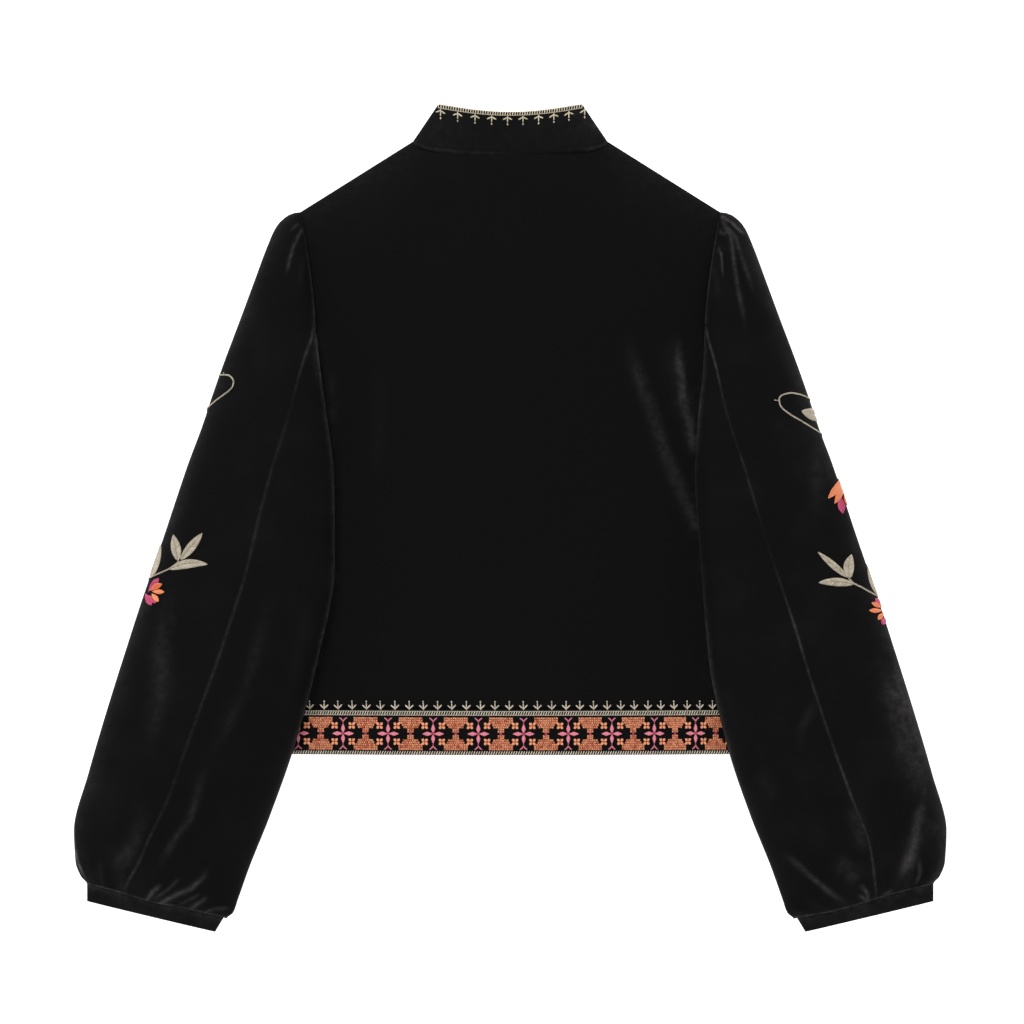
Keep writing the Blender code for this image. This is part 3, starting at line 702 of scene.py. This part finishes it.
def stitched(name, parts, material):
    """One mesh of all the threads in parts, as lay gives them."""
    starts = np.cumsum([0] + [len(part[0]) for part in parts[:-1]])
    vertices = np.concatenate([part[0] for part in parts])
    faces = np.concatenate([part[1] + start for part, start in zip(parts, starts)])
    piece = add_mesh(name, vertices, faces, material)
    for k, label in ((2, "tint"), (3, "run")):
        add_values(piece, label, np.concatenate([part[k] for part in parts]))
    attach(piece, "root")
    return piece


# Mercerised cotton thread: two plies twisted together, with a low silky shine along them and a shade that
# varies from stitch to stitch.
def make_thread(name, deep, light):
    material, tree, shader = new_material(name)
    tint = add_node(tree, "ShaderNodeAttribute", attribute_name="tint").outputs["Fac"]
    run = add_node(tree, "ShaderNodeAttribute", attribute_name="run").outputs["Fac"]
    # The plies turn once in 0.6 mm; with them the colour is painted lighter on the ridges, darker in the
    # grooves
    turn = add_step(tree, "MULTIPLY", run, 2 * math.pi / (0.6 * MM))
    twist = add_step(tree, "SINE", turn)
    shade = add_step(tree, "MULTIPLY_ADD", twist, 0.10, tint, use_clamp=True)
    tree.links.new(add_colour(tree, shade, deep, light), shader.inputs["Base Color"])
    add_bump(tree, shader, twist, 0.35, 0.15 * MM)
    shader.inputs["Roughness"].default_value = 0.55
    shader.inputs["Specular IOR Level"].default_value = 0.3
    shader.inputs["Sheen Weight"].default_value = 0.15
    return material


def tapered(points, thick, thin):
    """A thread's radius at each of its points, thick in the middle and thin at both ends."""
    return mix(thin, thick, np.sin(np.linspace(0, math.pi, points)) ** 0.6)


def line(start, end, points, bow=0.0):
    """Places from start to end, bowed sideways by a share of the length."""
    start, end = np.asarray(start, dtype=float), np.asarray(end, dtype=float)
    t = np.linspace(0, 1, points)[:, None]
    side = np.array([start[1] - end[1], end[0] - start[0]])
    return mix(start, end, t) + side * bow * 4 * t * (1 - t)


def petal(base, tip, width, strands, points=9, widest=0.45, roundness=0.2, bow=0.0):
    """Strands side by side from base to tip, bowed, and spread widest part of the way along."""
    base, tip = np.asarray(base, dtype=float), np.asarray(tip, dtype=float)
    way = tip - base
    side = np.array([-way[1], way[0]]) / np.linalg.norm(way)
    t = np.linspace(0, 1, points)
    spread = np.minimum(t / widest, (1 - t) / (1 - widest))
    spread = mix(spread, np.sin(spread * math.pi / 2), roundness)
    offsets = np.linspace(-0.5, 0.5, strands) * width
    bowed = np.linalg.norm(way) * bow * 4 * t * (1 - t)
    return base + way * t[None, :, None] + side * (offsets[:, None] * spread[None, :] + bowed)[..., None]


def motif_cells():
    """Middles of the cells of one cross-stitch motif, from the motif's middle."""
    cells = []
    for first, last, across in MOTIF_TIERS:
        for row in range(first, last + 1):
            for column in range(across):
                for up in (1, -1):
                    cells.append((column - (across - 1) / 2, up * ((CHART_ROWS - 1) / 2 - row)))
    return np.array(cells) * CELL


def repeats(first):
    """x of each repeat on the border, from its first place right of the middle."""
    count = np.arange(-7, 7)
    places = first + REPEAT * count
    return places[np.abs(drawn_in(places)) < SIDE_X + REPEAT / 2]


def within_border(paths):
    """Whether each thread lies wholly within the border's ends."""
    return np.all(np.abs(drawn_in(paths[..., 0])) < SIDE_X - 0.0008, axis=1)


def on_cloth(paths):
    return paths[within_border(paths)]


def lay_on_band(parts, paths, radius, lift, tint):
    """Adds threads on the border to parts, if there are any."""
    if len(paths):
        parts.append(lay(along_band, paths, radius, lift, tint))


orange = make_thread("orange cotton thread", "#C8440F", "#FFAE82")
parts = []
for middle in repeats(MOTIF_AT):
    cells = motif_cells() + (middle, BAND_MIDDLE_Y)
    cells = cells + random.normal(0, 0.00008, cells.shape)
    tint = shades(0.74, 0.26, len(cells))
    for lean, lift in ((1, 0.2), (-1, 0.8)):
        reach = np.linspace(-0.40, 0.40, 3)[:, None] * (CELL, lean * CELL)
        legs = cells[:, None, :] + reach
        kept = within_border(legs)
        radius = np.array([0.60, 1.20, 0.60]) * CROSS_RADIUS
        lay_on_band(parts, legs[kept], radius, lift * CROSS_RADIUS, tint[kept])
    for across, up in ROSETTES:
        for mirror in (1, -1):
            rosette = np.array((middle + across, BAND_MIDDLE_Y + mirror * up))
            for corner in ((-1, -1), (1, -1), (-1, 1), (1, 1)):
                way = np.array(corner) * ROSETTE_RADIUS
                bed = on_cloth(line(rosette - way, rosette + way, 3)[None])
                ends = rosette + way * 0.38, rosette + way * 1.66
                knot = on_cloth(petal(*ends, 0.0017, 4, 6, widest=0.5, roundness=1.0))
                knot_tint = shades(0.92, 0.12, len(knot))
                lay_on_band(parts, bed, 0.0006, 0.0001, 0.10)
                lay_on_band(parts, knot, tapered(6, 0.00050, 0.0003), 0.0007, knot_tint)
orange_stitches = stitched("border_orange_cross_stitch", parts, orange)

pink = make_thread("pink cotton thread", "#A42A50", "#FF9AAC")
parts = []
for middle in repeats(FLOWER_AT):
    centre = np.array((middle, BAND_MIDDLE_Y))
    for way in ((1, 0), (-1, 0), (0, 1), (0, -1)):
        way = np.array(way)
        long, wide, widest = (0.0096, 0.0031, 0.50) if way[0] else (0.0088, 0.0031, 0.42)
        ends = centre + way * 0.0008, centre + way * long
        strands = on_cloth(petal(*ends, wide, 7, widest=widest, roundness=0.0))
        tint = random.normal(0.88, 0.07, len(strands)) - 0.10 * np.abs(np.linspace(-2, 2, len(strands)))
        lay_on_band(parts, strands, tapered(9, 0.00042, 0.00020), 0.0004, np.clip(tint, 0, 1))
        if way[1]:
            stem = on_cloth(line(centre + way * 0.0080, centre + way * 0.0112, 3)[None])
            arms = []
            for side in (-1, 1):
                ends = centre + way * 0.0108, centre + way * 0.0142 + (side * 0.0034, 0)
                arms.append(line(*ends, 5, 0.08 * side * way[1]))
            arms = on_cloth(np.stack(arms))
            for threads, thick, tone in ((stem, 0.00050, 0.20), (arms, 0.00068, 0.55)):
                lay_on_band(parts, threads, tapered(threads.shape[1], thick, thick * 0.7), 0.0004, tone)
crosses = [(middle, 0.0012, 0.0012, 0.0) for middle in repeats(FLOWER_AT)]
crosses += [(middle, 0.0017, 0.0015, 0.12) for middle in repeats(MOTIF_AT)]
for middle, across, up, tone in crosses:
    for lean in (1, -1):
        centre, reach = np.array((middle, BAND_MIDDLE_Y)), np.array((across, lean * up))
        tie = on_cloth(line(centre - reach, centre + reach, 3)[None])
        lay_on_band(parts, tie, 0.00042, np.array((0.3, 0.7, 0.3)) * MM, tone)
pink_stitches = stitched("border_pink_flowers", parts, pink)

beige = make_thread("beige cotton thread", "#3A3428", "#F0E5CF")
TOP_ROPE, BOTTOM_ROPE, ROPE_PITCH = (-0.1771, -0.1734), (-0.2124, -0.2091), 0.00222
SPRIG_PITCH, SPRIG_AT, SPRIG_BASE_Y = 0.0128, -0.0008, -0.1732


def rope(surface, low, high, reach, lean, tint, cords):
    """A row of slanted stitches between two edges, over cords at some heights between them."""
    middles = np.linspace(-reach, reach - lean, round((2 * reach - lean) / ROPE_PITCH) + 1)
    slant = np.stack([line((0, low), (lean, high), 5)] * len(middles))
    slant[..., 0] += middles[:, None]
    tints = shades(tint, 0.10, len(middles))
    lift = np.array((0.5, 1.0, 1.1, 1.0, 0.5)) * MM
    parts = [lay(surface, slant, tapered(5, 0.00046, 0.00042), lift, tints)]
    for share in cords:
        cord = line((-reach, mix(low, high, share)), (reach, mix(low, high, share)), 320)[None]
        parts.append(lay(surface, cord, 0.00040, 0.0005, tint - 0.25))
    return parts


def sprig(surface, foot, up, arm, stem, dot, fold_x=1.0):
    """Two arms from a foot, a stem between them and a knot beyond. An arm that meets a fold stops at it."""
    foot, up = np.asarray(foot, dtype=float), np.asarray(up, dtype=float)
    side = np.array((up[1], -up[0]))
    spread, height = arm
    arms = []
    for s in (-1, 1):
        start, end = foot + up * 0.0012, foot + up * height + side * spread * s
        outward = end[0] * (end[0] - start[0]) > 0
        share = min(1, (fold_x - abs(start[0])) / spread) if outward else 1
        arms.append(line(start, mix(start, end, share), 6, 0.02 * s))
    tints = shades(0.72, 0.08, 4)
    parts = [lay(surface, arms, np.array((0.45, 0.60, 0.72, 0.76, 0.66, 0.35)) * MM, 0.0005, tints[:2])]
    stalk = line(foot, foot + up * stem, 6)[None]
    parts.append(lay(surface, stalk, tapered(6, 0.00055, 0.0004), 0.0006, tints[2]))
    knot = line(foot + up * (dot - 0.0009), foot + up * (dot + 0.0009), 6)[None]
    parts.append(lay(surface, knot, np.array((0.25, 0.60, 0.72, 0.72, 0.60, 0.25)) * MM, 0.0005, tints[3]))
    return parts


parts = rope(on_band, *TOP_ROPE, SIDE_X - 0.002, 0.0016, 0.78, (0.06, 0.94))
parts += rope(on_band, *BOTTOM_ROPE, SIDE_X - 0.002, 0.0014, 0.82, ())
band_beige = stitched("border_beige_ropes", parts, beige)
parts = []
for middle in SPRIG_AT + SPRIG_PITCH * np.arange(-17, 19):
    lean = random.normal(-0.04, 0.03)
    foot = (middle, SPRIG_BASE_Y + 0.0006)
    parts += sprig(along_back, foot, (lean, 1.0), (0.0037, 0.0048), 0.0066, 0.0077)
sprigs = stitched("back_beige_sprigs", parts, beige)


# The collar's embroidery. A beige ladder of rungs between two cords along the free edge, and sprigs that hang
# from it.
COLLAR_LENGTH = COLLAR_TOP_Y - COLLAR_TOP_BACK_DROP - NECK_Y + BACK_NECK_DROP
COLLAR_SPRIGS = (-62.5, -47.2, -31.6, -16.7, -2.4, 11.5, 25.5, 39.2, 52.7, 66.8)
warm_beige = make_thread("warm beige cotton thread", "#2A241A", "#F6EACD")


def on_collar(x, v):
    """Points of the collar's back half at x, v up from the neck seam."""
    up = v / COLLAR_LENGTH
    return collar_points(up, np.arccos(np.clip(x / mix(NECK_X, COLLAR_TOP_X, up), -0.9995, 0.9995)))


LADDER_LOW, LADDER_HIGH = COLLAR_LENGTH - 0.0038, COLLAR_LENGTH - 0.0003
# The collar's fold at the height of the sprigs' arms
SPRIG_FOLD_X = mix(NECK_X, COLLAR_TOP_X, 1 - 0.0058 / COLLAR_LENGTH) - 0.0002
parts = rope(on_collar, LADDER_LOW, LADDER_HIGH, COLLAR_TOP_X - 0.0004, 0.0004, 0.80, (0.08, 0.92))
for x in COLLAR_SPRIGS:
    foot = (x * MM, COLLAR_LENGTH - 0.0042)
    parts += sprig(on_collar, foot, (0.0, -1.0), (0.0042, 0.0033), 0.0060, 0.0076, fold_x=SPRIG_FOLD_X)
collar_stitches = stitched("collar_beige_ladder", parts, warm_beige)


# The sprays on the sleeves. Leaves in beige satin stitch, sewn in two halves that meet at a midrib, tendrils
# and stems in stem stitch, and flowers of orange and magenta petals. The outer fold cuts them, and they go on
# round it.
SPRAYS = {
    "left": {
        # base, tip, width in mm, and bow as a share of the length
        "leaves": (
            ((-297.4, -38.4), (-302.2, -15.3), 9.0, 0.00),
            ((-295.0, -37.6), (-275.5, -13.7), 8.0, 0.00),
            ((-305.2, -46.2), (-270.7, -41.6), 8.0, 0.08),
            ((-322.5, -53.5), (-314.0, -24.5), 7.6, 0.00),
        ),
        # 0 for orange or 1 for magenta, then the same as a leaf
        "petals": (
            (1, (-324.4, -66.0), (-315.0, -54.4), 5.0, 0.00),
            (1, (-327.5, -68.5), (-321.6, -78.4), 5.0, 0.00),
            (1, (-324.0, -70.0), (-317.4, -76.4), 4.4, 0.00),
            (0, (-322.4, -65.2), (-311.8, -59.6), 4.0, 0.04),
            (0, (-320.6, -66.2), (-309.7, -66.6), 3.4, 0.00),
            (0, (-321.0, -68.4), (-314.8, -75.2), 4.0, 0.00),
        ),
        # width, then the points it runs through, in mm
        "lines": (
            (1.8, ((-276.0, 124.0), (-267.0, 127.0), (-260.7, 128.2), (-254.0, 128.2),
                   (-249.6, 125.8), (-247.7, 121.4),
                   (-248.6, 117.8), (-251.6, 114.2), (-257.3, 109.9), (-264.1, 105.1),
                   (-270.3, 99.9), (-279.0, 93.0))),
            (1.2, ((-256.4, 127.6), (-257.1, 130.2))),
            (1.8, ((-296.4, -38.6), (-300.8, -42.6), (-306.2, -46.1), (-314.3, -49.7),
                   (-322.4, -53.3), (-330.0, -57.0))),
        ),
    },
    "right": {
        "leaves": (
            ((304.2, -53.8), (306.0, -32.8), 9.6, 0.08),
            ((302.4, -53.6), (275.4, -30.7), 5.9, 0.00),
            ((307.6, -59.4), (275.8, -58.0), 7.4, -0.04),
            ((331.0, -70.0), (322.0, -41.6), 8.5, 0.00),
            ((284.0, 90.0), (261.2, 95.6), 11.0, 0.00),
        ),
        "petals": (
            (1, (295.4, 19.5), (298.2, 4.0), 6.0, 0.00),
            (0, (298.5, 37.5), (284.4, 17.4), 5.6, 0.06),
            (0, (299.5, 33.0), (290.4, 12.6), 5.0, 0.04),
            (0, (301.0, 27.0), (302.0, 11.0), 4.6, 0.00),
            (1, (333.5, -79.0), (327.6, -72.6), 4.0, 0.00),
            (1, (336.5, -90.0), (333.8, -95.8), 4.4, 0.00),
            (0, (333.6, -80.6), (323.8, -76.4), 3.3, 0.00),
            (0, (333.6, -83.6), (321.6, -83.2), 3.3, 0.00),
            (0, (334.6, -85.6), (329.6, -91.4), 3.6, 0.00),
        ),
        "lines": (
            (1.8, ((284.0, 100.0), (276.0, 103.6), (268.0, 107.4), (259.9, 110.5), (251.8, 111.8),
                   (244.6, 110.4), (240.6, 106.4),
                   (241.4, 101.2), (249.1, 93.6), (261.7, 86.2), (270.7, 80.8), (279.7, 75.4),
                   (290.0, 69.0))),
            (1.2, ((239.8, 104.6), (236.4, 105.4))),
            (2.0, ((302.8, -53.8), (307.4, -58.6), (314.8, -62.3), (321.1, -65.9), (329.2, -70.0),
                   (338.0, -74.0))),
        ),
    },
}


def sleeve_surface(word):
    """A function from x, y to points of a sleeve's outer piece, going on round the outer fold past it."""
    steps = 40
    round_turns = math.pi + np.linspace(0, 1, steps) ** 2 * 1.2

    def place(u, v):
        far, y = np.abs(u), v
        for _ in range(10):
            cut = sleeve_sections(y, word)
            y = v - np.clip((far - cut["inner"]) / cut["width"], 0, 1) * cut["rise"]
        cut = sleeve_sections(y, word)
        share = np.clip((far - cut["inner"]) / cut["width"], 0, 1)
        points = sleeve_points(cut, section_turn(share, True), True, word)[0]
        past = far - cut["outer"]
        cut = {name: value[..., None] for name, value in cut.items()}
        arc = sleeve_points(cut, np.broadcast_to(round_turns, np.shape(u) + (steps,)), True, word)[0]
        run = np.cumsum(np.linalg.norm(np.diff(arc, axis=-2), axis=-1), axis=-1)
        step = np.clip(np.sum(run < past[..., None], axis=-1), 0, steps - 2)[..., None]
        before = np.where(step > 0, np.take_along_axis(run, np.maximum(step - 1, 0), -1), 0)
        t = (past[..., None] - before) / (np.take_along_axis(run, step, -1) - before)
        low = np.take_along_axis(arc, step[..., None], -2)[..., 0, :]
        high = np.take_along_axis(arc, step[..., None] + 1, -2)[..., 0, :]
        return np.where(past[..., None] > 0, mix(low, high, t), points)

    return place


THREAD_SPACING, LEAF_STEPS = 0.0008, np.linspace(0, 1, 7)


def satin_leaf(base, tip, width, bow, count):
    """Slanted threads from a leaf's midrib, bowed sideways by a share of its length, to each of its edges."""
    base, tip = np.array(base) * MM, np.array(tip) * MM
    way = tip - base
    length = np.linalg.norm(way)
    side = np.array([-way[1], way[0]]) / length
    starts = np.linspace(0.0, 0.93, count)
    ends = np.clip(starts + 0.10, 0, 1)
    edge = np.sin(math.pi * ends**0.9) ** 0.75 * width * MM / 2
    halves = []
    for half in (1, -1):
        rib_side = length * bow * 4 * starts * (1 - starts) + half * 0.00004
        rim_side = length * bow * 4 * ends * (1 - ends) + half * edge
        rib = base + way * starts[:, None] + side * rib_side[:, None]
        rim = base + way * ends[:, None] + side * rim_side[:, None]
        halves.append(np.stack([mix(rib, rim, t) for t in LEAF_STEPS], axis=1))
    return np.stack(halves)


def close_set(surface, count, make):
    """Rows of threads side by side, as many as leave no gap on the cloth where it turns down at the fold."""
    rows = make(count)
    places = surface(rows[..., 0], rows[..., 1])
    apart = np.max(np.linalg.norm(np.diff(places, axis=1), axis=-1))
    rows = make(math.ceil(count * max(1, apart / THREAD_SPACING)))
    return rows.reshape(-1, *rows.shape[2:])


def stem_stitches(points, width):
    """Overlapping slanted stitches along a line."""
    points = np.array(points) * MM
    run = np.concatenate([[0], np.cumsum(np.linalg.norm(np.diff(points, axis=0), axis=1))])
    starts = np.arange(0, run[-1] - 0.0012, 0.0011)
    at = np.clip(starts[:, None] + np.linspace(0, 0.0036, 5)[None, :], 0, run[-1])

    def place(along):
        return np.stack([through(run, points[:, k], along) for k in (0, 1)], axis=-1)

    way = place(at + 0.0005) - place(at - 0.0005)
    way /= np.linalg.norm(way, axis=-1, keepdims=True)
    slant = np.linspace(-0.25, 0.25, 5)[None, :, None] * width * MM
    return place(at) + np.stack([-way[..., 1], way[..., 0]], axis=-1) * slant


leaf_beige = make_thread("pale beige cotton thread", "#8C8270", "#DDD2BC")
petal_orange = make_thread("bright orange cotton thread", "#D9552C", "#FFA874")
magenta = make_thread("magenta cotton thread", "#9C2450", "#E8608C")
for word in ("right", "left"):
    spray, surface = SPRAYS[word], sleeve_surface(word)
    beige_parts, orange_parts, magenta_parts = [], [], []
    for base, tip, width, bow in spray["leaves"]:
        count = int(math.dist(base, tip) / 0.52)
        threads = close_set(surface, count, lambda n: satin_leaf(base, tip, width, bow, n))
        # Each leaf's first half is a little darker: painted shade on that side
        first_half = np.arange(len(threads)) < len(threads) // 2
        tint = np.clip(random.normal(0.58, 0.20, len(threads)) - 0.10 * first_half, 0, 1)
        lift = np.interp(LEAF_STEPS, (0, 0.35, 0.75, 1), (0.2, 0.7, 0.6, 0.1)) * MM
        beige_parts.append(lay(surface, threads, tapered(len(LEAF_STEPS), 0.00036, 0.00024), lift, tint))
    for width, points in spray["lines"]:
        threads = stem_stitches(points, width)
        tint = shades(0.36, 0.20, len(threads))
        radius = tapered(5, width * 0.30 * MM, width * 0.16 * MM)
        beige_parts.append(lay(surface, threads, radius, 0.0005, tint))
    for kind, base, tip, width, bow in spray["petals"]:
        ends = np.array((base, tip)) * MM
        count = int(width * 1.7)
        threads = close_set(surface, count, lambda n: petal(*ends, width * MM, n, 17, 0.6, 1.0, bow)[None])
        tint = np.clip(random.normal(0.62, 0.24, len(threads)) - 0.18 * (np.arange(len(threads)) < 2), 0, 1)
        parts = magenta_parts if kind else orange_parts
        lift = 0.0005 + 0.0004 * (1 - kind)
        parts.append(lay(surface, threads, tapered(17, 0.00048, 0.0003), lift, tint))
    pieces = [stitched(f"{word}_sleeve_leaves", beige_parts, leaf_beige),
              stitched(f"{word}_sleeve_orange_petals", orange_parts, petal_orange),
              stitched(f"{word}_sleeve_magenta_petals", magenta_parts, magenta)]


# Surface, light and camera. A white table under an even white light, with a soft key light from the upper
# left.
floor_mesh = bpy.data.meshes.new("table")
corners = [(-4, -4, -0.0004), (4, -4, -0.0004), (4, 4, -0.0004), (-4, 4, -0.0004)]
floor_mesh.from_pydata(corners, [], [(0, 1, 2, 3)])
floor = bpy.data.objects.new("table", floor_mesh)
bpy.context.scene.collection.objects.link(floor)
# White paper: matt, with a faint grain, so bright that it shows little shadow
paper, tree, shader = new_material("white paper")
place = add_node(tree, "ShaderNodeTexCoord").outputs["Object"]
grain = add_noise(tree, place, 3, 3.0)
tree.links.new(add_colour(tree, grain, "#FAFAFA", "#FFFFFF"), shader.inputs["Base Color"])
shader.inputs["Roughness"].default_value = 0.9
shader.inputs["Emission Color"].default_value = (1, 1, 1, 1)
shader.inputs["Emission Strength"].default_value = 0.9
floor_mesh.materials.append(paper)

world = bpy.data.worlds.new("studio")
bpy.context.scene.world = world
world.use_nodes = True
world.node_tree.nodes["Background"].inputs["Color"].default_value = (1, 1, 1, 1)
world.node_tree.nodes["Background"].inputs["Strength"].default_value = 0.75

key_data = bpy.data.lights.new("soft key", "SUN")
key_data.energy = 1.1
key_data.angle = math.radians(25)
key = bpy.data.objects.new("soft key", key_data)
key.rotation_euler = (math.radians(-38), math.radians(-24), 0)
bpy.context.scene.collection.objects.link(key)

camera_data = bpy.data.cameras.new("camera")
camera_data.lens = 200
camera_data.sensor_width = 36
camera = bpy.data.objects.new("camera", camera_data)
camera.location = (0.0016, 0.0052, 5.125)
bpy.context.scene.collection.objects.link(camera)
bpy.context.scene.camera = camera
bpy.context.scene.view_settings.view_transform = "Standard"
bpy.context.scene.view_settings.look = "None"
